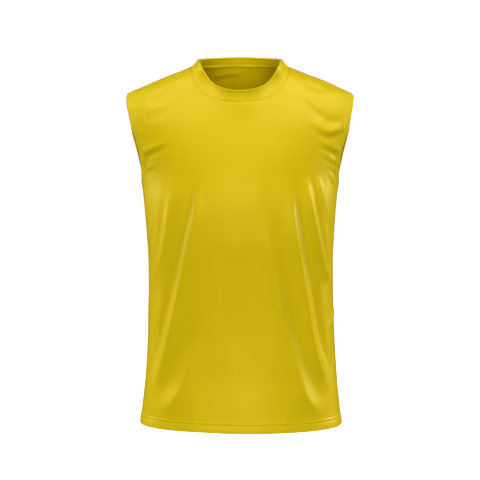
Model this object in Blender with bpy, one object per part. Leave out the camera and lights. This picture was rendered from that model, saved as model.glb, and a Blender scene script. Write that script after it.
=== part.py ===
"""Sleeveless crew-neck t-shirt in its worn form, hollow: front panel, back panel and neckband.

+Z is up and the front faces -Y. The origin is midway between the two neck points, where the
shoulder seams meet the neckband. All sizes are in metres and all angles in degrees.
"""

import math

import bpy
import numpy as np

# Cut of the garment. A curve's power is 2 for an ellipse and more for a squarer one.
NECK_HALF_WIDTH = 0.0925
FRONT_NECK_DROP = 0.0686
FRONT_NECK_POWER = 2.18
BACK_NECK_RISE = 0.0008
SHOULDER_TIP_HEIGHT = -0.0535
ARMPIT_HEIGHT = -0.222
HEM_HEIGHT = -0.689
ARMHOLE_FRONT_REACH = 0.062
ARMHOLE_BACK_REACH = 0.054
ARMHOLE_POWER = 2.1
HEM_DEPTH = 0.020
EDGE_TURNING = 0.011
WAIST_HEIGHT = -0.35

# The hem hangs a little higher towards the side at -X: by how much, from what height the side
# starts to lift, and over what share of a turn from the middle
HEM_SIDE_RISE = 0.002
HEM_RISE_START = -0.40
HEM_RISE_TURN = 0.7

# Cloth
WALL = 0.0014
TURNED_WALL = 0.0024
SEAM_GAP = 0.0003
YELLOW = (0.665, 0.500, 0.006, 1.0)
ROUGHNESS = 0.85
SHARP_ANGLE = 50

# The neckband, which starts a little above the neck seam's curve because its straight facets and
# the panels' cut that curve apart. Its section is in shares of its height, up from there, and of
# its thickness, out from its outer face.
BAND_START = 0.0006
BAND_WIDTH = 0.023
BAND_THICKNESS = 0.0022
BAND_PROFILE_COLUMNS = ("up", "out")
BAND_PROFILE = (
    (0.00, 0.00),
    (0.30, 0.27),
    (0.70, 0.27),
    (0.95, 0.00),
    (1.00, -0.30),
    (1.00, -0.70),
    (0.95, -1.00),
    (0.50, -1.14),
    (0.00, -1.00),
)

# Lean of the neckband inwards from upright at the front, the shoulders and the back, and how
# much more it leans at the front's two corners
BAND_LEAN_FRONT = 20.0
BAND_LEAN_CORNER = 8.0
BAND_LEAN_SIDE = 43.0
BAND_LEAN_BACK = 37.0

# Level sections of the worn form, from above the neck to below the hem. Each is a front half and
# a back half that share one width, with the middle as their centre along X.
SECTION_COLUMNS = ("height", "middle", "half_width", "front_depth", "back_depth", "front_power", "back_power")
SECTIONS = (
    (0.0100, 0.0000, 0.0680, 0.0560, 0.0570, 2.00, 2.00),
    (0.0000, 0.0000, 0.0925, 0.0590, 0.0620, 2.02, 2.02),
    (-0.0058, 0.0000, 0.1070, 0.0600, 0.0650, 2.05, 2.05),
    (-0.0134, 0.0000, 0.1250, 0.0620, 0.0685, 2.10, 2.10),
    (-0.0211, 0.0000, 0.1447, 0.0640, 0.0720, 2.15, 2.15),
    (-0.0287, 0.0000, 0.1634, 0.0662, 0.0755, 2.20, 2.20),
    (-0.0364, 0.0000, 0.1802, 0.0688, 0.0787, 2.25, 2.24),
    (-0.0440, 0.0000, 0.1968, 0.0715, 0.0818, 2.30, 2.27),
    (-0.0490, 0.0000, 0.2080, 0.0735, 0.0838, 2.32, 2.27),
    (-0.0535, 0.0000, 0.2157, 0.0756, 0.0855, 2.32, 2.26),
    (-0.0600, 0.0000, 0.2235, 0.0790, 0.0878, 2.28, 2.24),
    (-0.0700, 0.0000, 0.2315, 0.0842, 0.0910, 2.25, 2.21),
    (-0.0800, 0.0000, 0.2365, 0.0892, 0.0945, 2.24, 2.20),
    (-0.1000, 0.0005, 0.2400, 0.0985, 0.1000, 2.20, 2.21),
    (-0.1200, 0.0008, 0.2370, 0.1068, 0.1050, 2.13, 2.25),
    (-0.1400, 0.0008, 0.2280, 0.1145, 0.1087, 2.06, 2.36),
    (-0.1600, 0.0008, 0.2170, 0.1215, 0.1110, 2.03, 2.50),
    (-0.1800, 0.0008, 0.2065, 0.1270, 0.1128, 2.03, 2.62),
    (-0.2000, 0.0006, 0.1972, 0.1315, 0.1145, 2.05, 2.70),
    (-0.2220, 0.0005, 0.1898, 0.1345, 0.1152, 2.15, 2.72),
    (-0.2540, 0.0006, 0.1857, 0.1365, 0.1142, 2.28, 2.62),
    (-0.3160, 0.0009, 0.1813, 0.1335, 0.1095, 2.36, 2.50),
    (-0.3800, 0.0015, 0.1785, 0.1262, 0.1055, 2.40, 2.44),
    (-0.4200, 0.0018, 0.1785, 0.1222, 0.1040, 2.40, 2.40),
    (-0.4700, 0.0014, 0.1795, 0.1183, 0.1033, 2.39, 2.38),
    (-0.5200, 0.0019, 0.1812, 0.1160, 0.1045, 2.38, 2.37),
    (-0.5800, 0.0022, 0.1850, 0.1165, 0.1090, 2.35, 2.36),
    (-0.6400, 0.0019, 0.1907, 0.1202, 0.1145, 2.32, 2.34),
    (-0.6720, 0.0018, 0.1944, 0.1230, 0.1180, 2.30, 2.32),
    (-0.6840, 0.0018, 0.1963, 0.1246, 0.1197, 2.30, 2.32),
    (-0.6890, 0.0018, 0.1966, 0.1250, 0.1202, 2.30, 2.32),
    (-0.7050, 0.0018, 0.1970, 0.1262, 0.1215, 2.30, 2.32),
)

# The largest folds. Each is a soft ridge, or a hollow where its height is negative, from its top
# to its foot. The bow carries its middle sideways, towards -X for a fold that runs downwards.
FOLD_COLUMNS = ("panel", "top_x", "top_height", "foot_x", "foot_height", "bow", "half_width", "height")
FOLDS = (
    ("front", -0.077, -0.200, -0.181, -0.628, -0.005, 0.014, 0.0034),
    ("front", -0.080, -0.495, -0.172, -0.668, -0.016, 0.018, 0.0048),
    ("front", 0.094, -0.205, 0.184, -0.622, 0.010, 0.014, 0.0036),
    ("front", 0.036, -0.210, 0.106, -0.545, 0.004, 0.018, 0.0036),
    ("front", 0.086, -0.470, 0.178, -0.664, 0.017, 0.019, 0.0050),
    ("front", 0.129, -0.200, 0.177, -0.410, 0.005, 0.013, 0.0030),
    ("front", -0.128, -0.205, -0.173, -0.435, -0.004, 0.013, 0.0026),
    ("back", -0.070, -0.180, -0.150, -0.560, -0.008, 0.020, 0.0044),
    ("back", 0.064, -0.195, 0.160, -0.605, 0.009, 0.019, 0.0044),
    ("back", -0.095, -0.480, -0.170, -0.662, -0.014, 0.018, 0.0046),
    ("back", 0.118, -0.200, 0.170, -0.430, 0.004, 0.014, 0.0032),
    ("back", 0.004, -0.120, 0.012, -0.330, 0.000, 0.024, -0.0030),
)
# How bluntly a fold starts and ends, and the share of a panel's half width over which its folds
# fade out
FOLD_END_POWER = 0.8
FOLD_FADE = 0.2

# Rows and columns of the panels, and stations round the neckband
HALF_COLUMNS = 16
BODY_ROWS = 22
ARMHOLE_ROWS = 12
SHOULDER_ROWS = 7
BAND_STATIONS = 84

# Fineness of the curves that are measured along their length, of the search for an edge, whose
# turn is never under the least one, and of the step that finds a normal
FINE_STEPS = 400
HALVINGS = 40
LEAST_EDGE_TURN = 0.3
NORMAL_STEP = 0.002

QUARTER_TURN = math.pi / 2


def table_column(rows, names, name):
    index = names.index(name)
    return np.array([row[index] for row in rows])


SECTION = {name: table_column(SECTIONS[::-1], SECTION_COLUMNS, name) for name in SECTION_COLUMNS}


def along_table(name, height):
    """A smooth curve through one column of the sections, without overshoot."""
    knots = SECTION["height"]
    values = SECTION[name]
    step = np.diff(knots)
    rise = np.diff(values) / step
    same_way = rise[:-1] * rise[1:] > 0
    lower = np.where(same_way, rise[:-1], 1.0)
    upper = np.where(same_way, rise[1:], 1.0)
    first = 2 * step[1:] + step[:-1]
    second = step[1:] + 2 * step[:-1]
    inner = np.where(same_way, (first + second) / (first / lower + second / upper), 0.0)
    slope = np.concatenate([rise[:1], inner, rise[-1:]])
    k = np.clip(np.searchsorted(knots, height) - 1, 0, len(step) - 1)
    t = (height - knots[k]) / step[k]
    value = values[k] * (1 + 2 * t) * (1 - t) ** 2 + values[k + 1] * t**2 * (3 - 2 * t)
    return value + step[k] * (slope[k] * t * (1 - t) ** 2 + slope[k + 1] * t**2 * (t - 1))


def form_point(panel, turn, height):
    """A point of the worn form. The turn is 0 at the panel's middle and a quarter turn at its side."""
    way = -1.0 if panel == "front" else 1.0
    width = along_table("half_width", height)
    depth = along_table(panel + "_depth", height)
    power = along_table(panel + "_power", height)
    flat = np.abs(np.sin(turn) / width) ** power + np.abs(np.cos(turn) / depth) ** power
    reach = flat ** (-1 / power)
    x = along_table("middle", height) + reach * np.sin(turn)
    return np.stack([x, way * reach * np.cos(turn), height + 0 * turn], axis=-1)


def form_normal(panel, turn, height):
    """The outward direction of the worn form."""
    way = 1.0 if panel == "front" else -1.0
    nudge = NORMAL_STEP
    across = form_point(panel, turn + nudge, height) - form_point(panel, turn - nudge, height)
    upward = form_point(panel, turn, height + nudge) - form_point(panel, turn, height - nudge)
    normal = way * np.cross(across, upward)
    return normal / np.linalg.norm(normal, axis=-1, keepdims=True)


def armhole_gap(panel, height):
    """Half the armhole's opening at this height, from the side seam's line to the panel's edge."""
    middle = (SHOULDER_TIP_HEIGHT + ARMPIT_HEIGHT) / 2
    half = (SHOULDER_TIP_HEIGHT - ARMPIT_HEIGHT) / 2
    reach = ARMHOLE_FRONT_REACH if panel == "front" else ARMHOLE_BACK_REACH
    share = np.clip(1 - np.abs((height - middle) / half) ** ARMHOLE_POWER, 0, 1)
    return reach * share ** (1 / ARMHOLE_POWER)


def edge_turn(panel, height):
    """The turn at which the panel ends: at its armhole edge, or at the side or shoulder seam."""
    gap = armhole_gap(panel, height)
    low = 0 * gap + LEAST_EDGE_TURN
    high = 0 * gap + QUARTER_TURN
    for _ in range(HALVINGS):
        middle = (low + high) / 2
        inside = np.abs(form_point(panel, middle, height)[..., 1]) > gap
        low = np.where(inside, middle, low)
        high = np.where(inside, high, middle)
    return np.where(gap > 0, (low + high) / 2, QUARTER_TURN)


def smoothstep(share):
    return share * share * (3 - 2 * share)


def run_along(points):
    """The length of a line up to each of its points."""
    return np.concatenate([[0.0], np.cumsum(np.linalg.norm(np.diff(points, axis=0), axis=1))])


def along_length(points, values, shares):
    """The values at these shares of a line's length."""
    run = run_along(points)
    return [np.interp(shares * run[-1], run, value) for value in values]


def neck_seam(panel, shares):
    """Turn and height of the neck seam, from the panel's middle to the neck point."""
    lean = np.linspace(0, 1, FINE_STEPS) * QUARTER_TURN
    if panel == "front":
        x = NECK_HALF_WIDTH * np.sin(lean) ** (2 / FRONT_NECK_POWER)
        height = -FRONT_NECK_DROP * np.cos(lean) ** (2 / FRONT_NECK_POWER)
        share = np.clip(x / along_table("half_width", height), 0, 1)
        power = along_table("front_power", height)
        depth = along_table("front_depth", height) * np.clip(1 - share**power, 0, 1) ** (1 / power)
        turn = np.arctan2(x, depth)
    else:
        turn = lean
        height = BACK_NECK_RISE * np.cos(lean) ** 2
    turn[-1] = QUARTER_TURN
    height[-1] = 0.0
    return along_length(form_point(panel, turn, height), (turn, height), shares)


def row_heights():
    """Heights of the rows at the panel's side: the level rows up to the armpit, then those above."""
    low = HEM_HEIGHT + HEM_DEPTH
    body = np.linspace(low, ARMPIT_HEIGHT, BODY_ROWS + 1)
    middle = (SHOULDER_TIP_HEIGHT + ARMPIT_HEIGHT) / 2
    half = (SHOULDER_TIP_HEIGHT - ARMPIT_HEIGHT) / 2
    arc = np.linspace(0, math.pi, ARMHOLE_ROWS + 1)[1:]
    armhole = middle - half * np.cos(arc)
    ridge_height = np.linspace(SHOULDER_TIP_HEIGHT, 0, FINE_STEPS)
    ridge = form_point("front", 0 * ridge_height + QUARTER_TURN, ridge_height)
    shoulder = along_length(ridge, (ridge_height,), np.linspace(0, 1, SHOULDER_ROWS + 1)[1:])[0]
    level = np.concatenate([[HEM_HEIGHT, low - TURNED_WALL], body])
    raised = np.concatenate([armhole, shoulder])
    return level, raised


def panel_grid(panel):
    """Turn and height of each point of a panel, row by row from the hem to the neck seam."""
    level, raised = row_heights()
    share = np.linspace(0, 1, FINE_STEPS)
    waist = form_point(panel, share * QUARTER_TURN, 0 * share + WAIST_HEIGHT)
    even = along_length(waist, (share,), share)[0]
    neck_turn, neck_height = neck_seam(panel, share)
    neck_rise = (neck_height - neck_height[0]) / (neck_height[-1] - neck_height[0])
    turns = []
    heights = []
    for row, side_height in enumerate(np.concatenate([level, raised])):
        up = max(row + 1 - len(level), 0) / len(raised)
        end = edge_turn(panel, np.array([side_height]))[0]
        middle = side_height if up == 0 else ARMPIT_HEIGHT + up * (neck_height[0] - ARMPIT_HEIGHT)
        turn = end * ((1 - up) * even + up * neck_turn / QUARTER_TURN)
        bend = (1 - up) * smoothstep(share) + up * neck_rise
        height = middle + (side_height - middle) * bend
        line = form_point(panel, turn, height)
        turning = EDGE_TURNING / run_along(line)[-1]
        stops = np.append(np.linspace(0, 1 - turning, HALF_COLUMNS), 1)
        turn, height = along_length(line, (turn, height), stops)
        turns.append(turn)
        heights.append(height)
    turns = np.array(turns)
    heights = np.array(heights)
    turns = np.hstack([-turns[:, :0:-1], turns])
    heights = np.hstack([heights[:, :0:-1], heights])
    low = np.clip((HEM_RISE_START - heights) / (HEM_RISE_START - HEM_HEIGHT), 0, 1) ** 2
    aside = np.clip(-turns / HEM_RISE_TURN, 0, 1)
    return turns, heights + HEM_SIDE_RISE * low * smoothstep(aside)


def fold_lift(panel, points):
    """How far the folds stand out from the form."""
    lift = np.zeros(points.shape[:-1])
    for row in FOLDS:
        fold = dict(zip(FOLD_COLUMNS, row))
        if fold["panel"] != panel:
            continue
        top = np.array([fold["top_x"], fold["top_height"]])
        line = np.array([fold["foot_x"], fold["foot_height"]]) - top
        length = np.linalg.norm(line)
        line = line / length
        offset = points[..., [0, 2]] - top
        along = np.clip(offset @ line / length, 0, 1)
        across = offset @ np.array([line[1], -line[0]]) - 4 * fold["bow"] * along * (1 - along)
        crown = np.exp(-((across / fold["half_width"]) ** 2))
        lift += fold["height"] * crown * np.sin(math.pi * along) ** FOLD_END_POWER
    return lift


def side_fade(columns):
    """How much of a fold is left in each column, from all of it to none at the panel's sides."""
    from_side = 1 - np.abs(np.linspace(-1, 1, columns))
    return smoothstep(np.clip(from_side / FOLD_FADE, 0, 1))


def make_object(name, points, faces):
    mesh = bpy.data.meshes.new(name)
    mesh.from_pydata([tuple(map(float, point)) for point in points], [], faces)
    mesh.shade_smooth()
    mesh.set_sharp_from_angle(angle=math.radians(SHARP_ANGLE))
    material = bpy.data.materials.new(name + "_cloth")
    material.use_nodes = True
    surface = material.node_tree.nodes["Principled BSDF"]
    surface.inputs["Base Color"].default_value = YELLOW
    surface.inputs["Roughness"].default_value = ROUGHNESS
    mesh.materials.append(material)
    bpy.context.scene.collection.objects.link(bpy.data.objects.new(name, mesh))


def make_panel(panel):
    """A panel as a thin wall, thicker where its hem, edges and seams are turned in."""
    turn, height = panel_grid(panel)
    rows, columns = turn.shape
    base = form_point(panel, turn, height)
    normal = form_normal(panel, turn, height)
    lift = fold_lift(panel, base) * side_fade(columns)
    outer = base + normal * lift[..., None]
    outer[..., 1] += SEAM_GAP / 2 if panel == "back" else -SEAM_GAP / 2
    wall = np.full((rows, columns), WALL)
    wall[:2] = TURNED_WALL
    wall[:, [0, 1, -2, -1]] = TURNED_WALL
    inner = outer - normal * wall[..., None]
    points = np.vstack([outer.reshape(-1, 3), inner.reshape(-1, 3)])
    half = rows * columns

    def at(row, column, layer):
        return row * columns + column + layer * half

    faces = []
    for row in range(rows - 1):
        for column in range(columns - 1):
            ring = ((row, column), (row, column + 1), (row + 1, column + 1), (row + 1, column))
            faces.append([at(r, c, 0) for r, c in ring])
            faces.append([at(r, c, 1) for r, c in reversed(ring)])
    rim = [(0, c) for c in range(columns)]
    rim += [(r, columns - 1) for r in range(1, rows)]
    rim += [(rows - 1, c) for c in range(columns - 2, -1, -1)]
    rim += [(r, 0) for r in range(rows - 2, 0, -1)]
    for (r, c), (next_r, next_c) in zip(rim, rim[1:] + rim[:1]):
        faces.append([at(next_r, next_c, 0), at(r, c, 0), at(r, c, 1), at(next_r, next_c, 1)])
    if panel == "back":
        faces = [face[::-1] for face in faces]
    make_object(panel + "_panel", points, faces)


def seam_ring(stations):
    """Points evenly spaced round the whole neck seam, seen from above anticlockwise."""
    shares = np.linspace(0, 1, FINE_STEPS)
    quarters = []
    for panel, way, flip in (("front", 1, 1), ("back", 1, -1), ("back", -1, 1), ("front", -1, -1)):
        turn, height = neck_seam(panel, shares)
        quarters.append(form_point(panel, way * turn, height)[::flip][:-1])
    loop = np.vstack(quarters)
    loop = np.vstack([loop, loop[:1]])
    return np.stack(along_length(loop, loop.T, np.arange(stations) / stations), axis=-1)


def band_lean(seam):
    """The neckband's lean at each point of the seam, in radians."""
    around = np.arctan2(seam[:, 0], -seam[:, 1])
    ends = (BAND_LEAN_FRONT + BAND_LEAN_BACK) / 2
    lean = (ends + BAND_LEAN_SIDE) / 2 + (ends - BAND_LEAN_SIDE) / 2 * np.cos(2 * around)
    lean += (BAND_LEAN_FRONT - BAND_LEAN_BACK) / 2 * np.cos(around)
    lean += np.where(np.cos(around) > 0, BAND_LEAN_CORNER * np.sin(2 * around) ** 2, 0.0)
    return np.radians(lean)


def make_neckband():
    """The folded band: a ring whose lower edge lies along the neck seam."""
    seam = seam_ring(BAND_STATIONS)
    tangent = np.roll(seam, -1, axis=0) - np.roll(seam, 1, axis=0)
    tangent /= np.linalg.norm(tangent, axis=1, keepdims=True)
    inward = np.cross([0.0, 0.0, 1.0], tangent)
    inward /= np.linalg.norm(inward, axis=1, keepdims=True)
    upward = np.cross(tangent, inward)
    lean = band_lean(seam)[:, None]
    rise = upward * np.cos(lean) + inward * np.sin(lean)
    normal = np.cross(tangent, rise)
    profile = [dict(zip(BAND_PROFILE_COLUMNS, row)) for row in BAND_PROFILE]
    count = len(profile)
    points = []
    for station in range(BAND_STATIONS):
        for corner in profile:
            along = BAND_START + (BAND_WIDTH - BAND_START) * corner["up"]
            out = BAND_THICKNESS * corner["out"]
            points.append(seam[station] + rise[station] * along + normal[station] * out)
    faces = []
    for station in range(BAND_STATIONS):
        here = station * count
        after = (station + 1) % BAND_STATIONS * count
        for k in range(count):
            beyond = (k + 1) % count
            faces.append([here + k, after + k, after + beyond, here + beyond])
    make_object("neckband", points, faces)


for item in list(bpy.data.objects):
    bpy.data.objects.remove(item, do_unlink=True)
make_panel("front")
make_panel("back")
make_neckband()
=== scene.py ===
import math

import bpy
import numpy as np
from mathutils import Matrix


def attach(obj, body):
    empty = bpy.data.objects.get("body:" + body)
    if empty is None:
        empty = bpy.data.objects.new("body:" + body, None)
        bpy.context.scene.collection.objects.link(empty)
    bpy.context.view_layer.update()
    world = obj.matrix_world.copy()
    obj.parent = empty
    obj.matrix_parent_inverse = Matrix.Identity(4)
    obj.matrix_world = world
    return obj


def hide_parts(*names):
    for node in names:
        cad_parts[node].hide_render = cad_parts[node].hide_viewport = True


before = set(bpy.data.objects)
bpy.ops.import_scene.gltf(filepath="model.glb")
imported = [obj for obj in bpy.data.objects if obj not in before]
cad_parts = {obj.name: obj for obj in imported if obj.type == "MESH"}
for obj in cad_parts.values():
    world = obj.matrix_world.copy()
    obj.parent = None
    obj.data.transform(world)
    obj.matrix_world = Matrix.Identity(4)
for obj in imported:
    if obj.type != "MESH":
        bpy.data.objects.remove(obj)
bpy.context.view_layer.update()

# A sleeveless crew-neck t-shirt in its worn form, as thin cloth with its folds and its sewing.
# +Z is up and the front faces -Y. Sizes are in metres and angles in degrees.

# Cut of the garment, as in its solids. A curve's power is 2 for an ellipse and more for a
# squarer one.
NECK_HALF_WIDTH = 0.0925
FRONT_NECK_DROP = 0.0686
FRONT_NECK_POWER = 2.18
BACK_NECK_RISE = 0.0008
SHOULDER_TIP_HEIGHT = -0.0535
ARMPIT_HEIGHT = -0.222
HEM_HEIGHT = -0.689
ARMHOLE_FRONT_REACH = 0.0595
ARMHOLE_BACK_REACH = 0.054
ARMHOLE_POWER = 2.1
ARMHOLE_MIDDLE = (SHOULDER_TIP_HEIGHT + ARMPIT_HEIGHT) / 2
ARMHOLE_HALF = (SHOULDER_TIP_HEIGHT - ARMPIT_HEIGHT) / 2
WAIST_HEIGHT = -0.35
HEM_SIDE_RISE = 0.002
HEM_RISE_START = -0.40
HEM_RISE_TURN = 0.7

# Level sections of the worn form, from above the neck to below the hem, as in the solids
SECTION_COLUMNS = ("height", "middle", "half_width", "front_depth", "back_depth", "front_power", "back_power")
SECTIONS = (
    (0.0100, 0.0000, 0.0680, 0.0560, 0.0570, 2.00, 2.00),
    (0.0000, 0.0000, 0.0925, 0.0590, 0.0620, 2.02, 2.02),
    (-0.0058, 0.0000, 0.1070, 0.0600, 0.0650, 2.05, 2.05),
    (-0.0134, 0.0000, 0.1250, 0.0620, 0.0685, 2.10, 2.10),
    (-0.0211, 0.0000, 0.1447, 0.0640, 0.0720, 2.15, 2.15),
    (-0.0287, 0.0000, 0.1634, 0.0662, 0.0755, 2.20, 2.20),
    (-0.0364, 0.0000, 0.1802, 0.0688, 0.0787, 2.25, 2.24),
    (-0.0440, 0.0000, 0.1968, 0.0715, 0.0818, 2.30, 2.27),
    (-0.0490, 0.0000, 0.2080, 0.0735, 0.0838, 2.32, 2.27),
    (-0.0535, 0.0000, 0.2157, 0.0756, 0.0855, 2.32, 2.26),
    (-0.0600, 0.0000, 0.2235, 0.0790, 0.0878, 2.28, 2.24),
    (-0.0700, 0.0000, 0.2315, 0.0842, 0.0910, 2.25, 2.21),
    (-0.0800, 0.0000, 0.2365, 0.0892, 0.0945, 2.24, 2.20),
    (-0.1000, 0.0005, 0.2400, 0.0985, 0.1000, 2.20, 2.21),
    (-0.1200, 0.0008, 0.2370, 0.1068, 0.1050, 2.13, 2.25),
    (-0.1400, 0.0008, 0.2280, 0.1145, 0.1087, 2.06, 2.36),
    (-0.1600, 0.0008, 0.2170, 0.1215, 0.1110, 2.03, 2.50),
    (-0.1800, 0.0008, 0.2065, 0.1270, 0.1128, 2.03, 2.62),
    (-0.2000, 0.0006, 0.1972, 0.1315, 0.1145, 2.05, 2.70),
    (-0.2220, 0.0005, 0.1898, 0.1345, 0.1152, 2.15, 2.72),
    (-0.2540, 0.0006, 0.1857, 0.1365, 0.1142, 2.28, 2.62),
    (-0.3160, 0.0009, 0.1813, 0.1335, 0.1095, 2.36, 2.50),
    (-0.3800, 0.0015, 0.1785, 0.1262, 0.1055, 2.40, 2.44),
    (-0.4200, 0.0018, 0.1785, 0.1222, 0.1040, 2.40, 2.40),
    (-0.4700, 0.0014, 0.1795, 0.1183, 0.1033, 2.39, 2.38),
    (-0.5200, 0.0019, 0.1812, 0.1160, 0.1045, 2.38, 2.37),
    (-0.5800, 0.0022, 0.1850, 0.1165, 0.1090, 2.35, 2.36),
    (-0.6400, 0.0019, 0.1907, 0.1202, 0.1145, 2.32, 2.34),
    (-0.6720, 0.0018, 0.1944, 0.1230, 0.1180, 2.30, 2.32),
    (-0.6840, 0.0018, 0.1963, 0.1246, 0.1197, 2.30, 2.32),
    (-0.6890, 0.0018, 0.1966, 0.1250, 0.1202, 2.30, 2.32),
    (-0.7050, 0.0018, 0.1970, 0.1262, 0.1215, 2.30, 2.32),
)

# Cloth: the thickness of one layer, and the small relief of a turned edge and of a seam
CLOTH = 0.0008
EDGE_PUFF = 0.00028
STITCH_DITCH = 0.0005
STITCH_DITCH_WIDTH = 0.0009
SEAM_DITCH = 0.0007
SEAM_DITCH_WIDTH = 0.0014
SEAM_PUFF = 0.0004
SEAM_PUFF_AT = 0.0045
SEAM_PUFF_WIDTH = 0.003
SEAM_START = 0.004
PUCKER = 0.00022
PUCKER_LENGTH = 0.0095
PUCKER_WIDTH = 0.006
PUCKER_PAST_NEEDLE = 0.001
PUCKER_WAVER = 1.7
PUCKER_DRIFT = 0.83
# How far past the second needle the turned cloth reaches, and how soft its end shows
TURNING_PAST_NEEDLE = 0.0010
TURNING_STEP = 0.0008
PUFF_FADE = 0.0022
# The ridge between the needles is narrower than their distance by this
RIDGE_NARROWING = 2.6

# Twin-needle stitching, by its distance from the folded edge, and its thread
HEM_NEEDLES = (0.0143, 0.0200)
ARMHOLE_NEEDLES = (0.0090, 0.0146)
STITCH_LENGTH = 0.0030
STITCH_GAP = 0.0006
THREAD_RADIUS = 0.00026
THREAD_RINGS = 5
THREAD_SIDES = 6
# In radii of the thread: the rise of its arch, how deep its ends lie, and its thickness there
THREAD_RISE = 1.5
THREAD_SINK = 0.9
THREAD_END = 0.55
THREAD_SWELL = 0.45
LOOPER_WIDTH = 0.0075
LOOPER_THICKNESS = 0.0003
LOOPER_SLANT = 2.0
HEM_STATIONS = 420
ARMHOLE_STATIONS = 361
# Between these distances from the armhole's middle lie the lines beside its edge
ARMHOLE_RADII = (0.03, 0.16)
RADIUS_HALVINGS = 24

# The folded neckband
BAND_START = -0.0006
BAND_WIDTH = 0.023
BAND_THICKNESS = 0.0022
BAND_ROLL = 0.0007
BAND_HOLLOW = 0.0009
BAND_FRONT_FLARE = 0.0006
BAND_FLARE_DEPTH = 0.06
BAND_DITCH = 0.0004
BAND_DITCH_WIDTH = 0.0016
BAND_ROLL_ZONE = 0.004
BAND_LAYER_GAP = 0.0003
BAND_STATIONS = 380
BAND_LAYER_STEPS = 24
BAND_FOLD_STEPS = 11
# Ripples round the band: their height, their number, and the waver of their spacing
RIPPLE_COLUMNS = ("height", "waves", "waver", "waver_waves")
RIPPLES = ((0.00022, 47, 1.4, 11), (0.00016, 19, 2.0, 5))
# The first ripple keeps near the seam
SEAM_RIPPLE_WIDTH = 0.006
# Leans of its face in degrees, and those that set the height of its rim, as in its solid
BAND_LEAN_COLUMNS = ("front", "corner", "side", "back")
BAND_LEAN = (-3.0, 13.0, 43.0, 15.0)
BAND_RIM_LEAN = (20.0, 8.0, 43.0, 37.0)
# The rim dips at the two shoulder seams and rises between them and the front's middle
BAND_CORNER_DIP = 0.16
BAND_CORNER_WIDTH = 0.026
BAND_QUARTER_RISE = 0.26
# The front of the collar stands forward a little
COLLAR_LIFT = 0.0042
COLLAR_HALF_WIDTH = 0.066
COLLAR_FADE = 0.024
NECK_SEAM_SHARE = 0.15

# Overlocked seam allowances inside, on seams with this lower and upper end. They stop this far
# short of both, and have this many stations.
SEAM_SPANS = {
    "side": (HEM_HEIGHT, ARMPIT_HEIGHT, 0.001, 260),
    "shoulder": (SHOULDER_TIP_HEIGHT, 0.0, 0.0004, 120),
}
ALLOWANCE_WIDTH = 0.0065
ALLOWANCE_THICKNESS = 0.0010
ALLOWANCE_ASIDE = 0.0035
NECK_ALLOWANCE_RISE = 0.0020
NECK_STATIONS = 720
LOOP_LENGTH = 0.0026
LOOP_HEIGHT = 0.00025
LOOP_BLUNTNESS = 0.6
LOOP_STATIONS = 4
RIBBON_POINTS = 7
RIBBON_ROUNDNESS = 0.85
RIBBON_EDGE = 0.35
RIBBON_CROWN = 0.65
RIBBON_CLEARANCE = 0.00005
# Where the neck's allowance stands off behind the neck: its place, width and height
FLARE_COLUMNS = ("x", "width", "height")
FLARES = ((-0.058, 0.024, 0.0022), (0.023, 0.010, 0.0014))
FLARE_DEPTH = 0.03

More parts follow.
